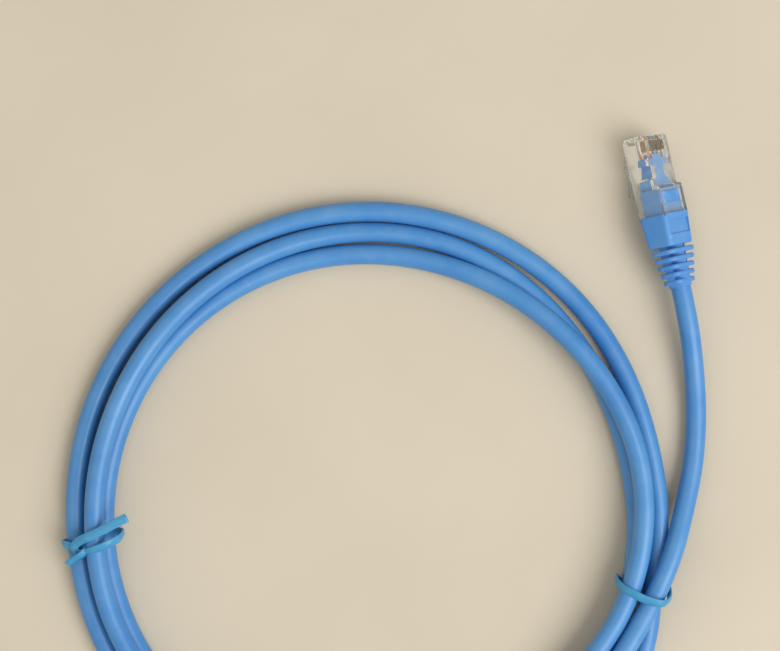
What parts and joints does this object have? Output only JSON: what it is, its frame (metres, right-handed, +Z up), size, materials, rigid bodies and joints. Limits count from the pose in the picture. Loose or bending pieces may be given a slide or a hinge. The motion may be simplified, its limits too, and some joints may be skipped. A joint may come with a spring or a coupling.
{
  "type": "network patch lead",
  "caption": "Network patch lead wound in a flat coil held by wire ties, with a clear latching plug and a ribbed strain-relief boot on each end.",
  "frame": {"origin": "on the surface that the lead lies on, under the middle of the whole lead", "axes": "+Z up, along the axis of the coil; +Y from plug b towards plug a, along the lead's longest side"},
  "size_m": [0.1718, 0.2013, 0.014],
  "materials": {
    "clear_polycarbonate": "clear moulded polycarbonate, polished faces",
    "boot_pvc": "soft satin moulded PVC",
    "cable_jacket": "smooth extruded PVC, low gloss",
    "contact_gold": "gold flash over nickel",
    "tie_plastic": "satin light blue PVC",
    "tie_steel": "drawn galvanised wire",
    "insulation_white_orange": "smooth extruded polyethylene",
    "insulation_orange": "smooth extruded polyethylene",
    "insulation_white_green": "smooth extruded polyethylene",
    "insulation_blue": "smooth extruded polyethylene",
    "insulation_white_blue": "smooth extruded polyethylene",
    "insulation_green": "smooth extruded polyethylene",
    "insulation_white_brown": "smooth extruded polyethylene",
    "insulation_brown": "smooth extruded polyethylene"
  },
  "bodies": {
    "lead": {"cable_coil": "cable_jacket", "cable_tail_a": "cable_jacket", "cable_tail_b": "cable_jacket", "plug_a_boot": "boot_pvc", "plug_a_conductor_1_white_orange": "insulation_white_orange", "plug_a_conductor_2_orange": "insulation_orange", "plug_a_conductor_3_white_green": "insulation_white_green", "plug_a_conductor_4_blue": "insulation_blue", "plug_a_conductor_5_white_blue": "insulation_white_blue", "plug_a_conductor_6_green": "insulation_green", "plug_a_conductor_7_white_brown": "insulation_white_brown", "plug_a_conductor_8_brown": "insulation_brown", "plug_a_contact_1": "contact_gold", "plug_a_contact_2": "contact_gold", "plug_a_contact_3": "contact_gold", "plug_a_contact_4": "contact_gold", "plug_a_contact_5": "contact_gold", "plug_a_contact_6": "contact_gold", "plug_a_contact_7": "contact_gold", "plug_a_contact_8": "contact_gold", "plug_a_housing": "clear_polycarbonate", "plug_a_jacket_end": "cable_jacket", "plug_b_boot": "boot_pvc", "plug_b_conductor_1_white_orange": "insulation_white_orange", "plug_b_conductor_2_orange": "insulation_orange", "plug_b_conductor_3_white_green": "insulation_white_green", "plug_b_conductor_4_blue": "insulation_blue", "plug_b_conductor_5_white_blue": "insulation_white_blue", "plug_b_conductor_6_green": "insulation_green", "plug_b_conductor_7_white_brown": "insulation_white_brown", "plug_b_conductor_8_brown": "insulation_brown", "plug_b_contact_1": "contact_gold", "plug_b_contact_2": "contact_gold", "plug_b_contact_3": "contact_gold", "plug_b_contact_4": "contact_gold", "plug_b_contact_5": "contact_gold", "plug_b_contact_6": "contact_gold", "plug_b_contact_7": "contact_gold", "plug_b_contact_8": "contact_gold", "plug_b_housing": "clear_polycarbonate", "plug_b_jacket_end": "cable_jacket", "tie_left_strap": "tie_plastic", "tie_left_wire": "tie_steel", "tie_right_strap": "tie_plastic", "tie_right_wire": "tie_steel"},
    "latch_a": {"plug_a_latch": "clear_polycarbonate"},
    "latch_b": {"plug_b_latch": "clear_polycarbonate"}
  },
  "joints": [
    {"name": "plug_a_latch_press", "type": "hinge", "parent": "lead", "child": "latch_a", "pos_m": [0.06617, 0.0964, 0.00402], "axis": [-0.6268, -0.1424, 0.766], "range_deg": [0, 11], "stiffness_Nm_per_rad": 0.1},
    {"name": "plug_b_latch_press", "type": "hinge", "parent": "lead", "child": "latch_b", "pos_m": [0.06196, -0.09811, 0.0091], "axis": [-0.9976, 0.0698, 0], "range_deg": [0, 11], "stiffness_Nm_per_rad": 0.1}
  ]
}
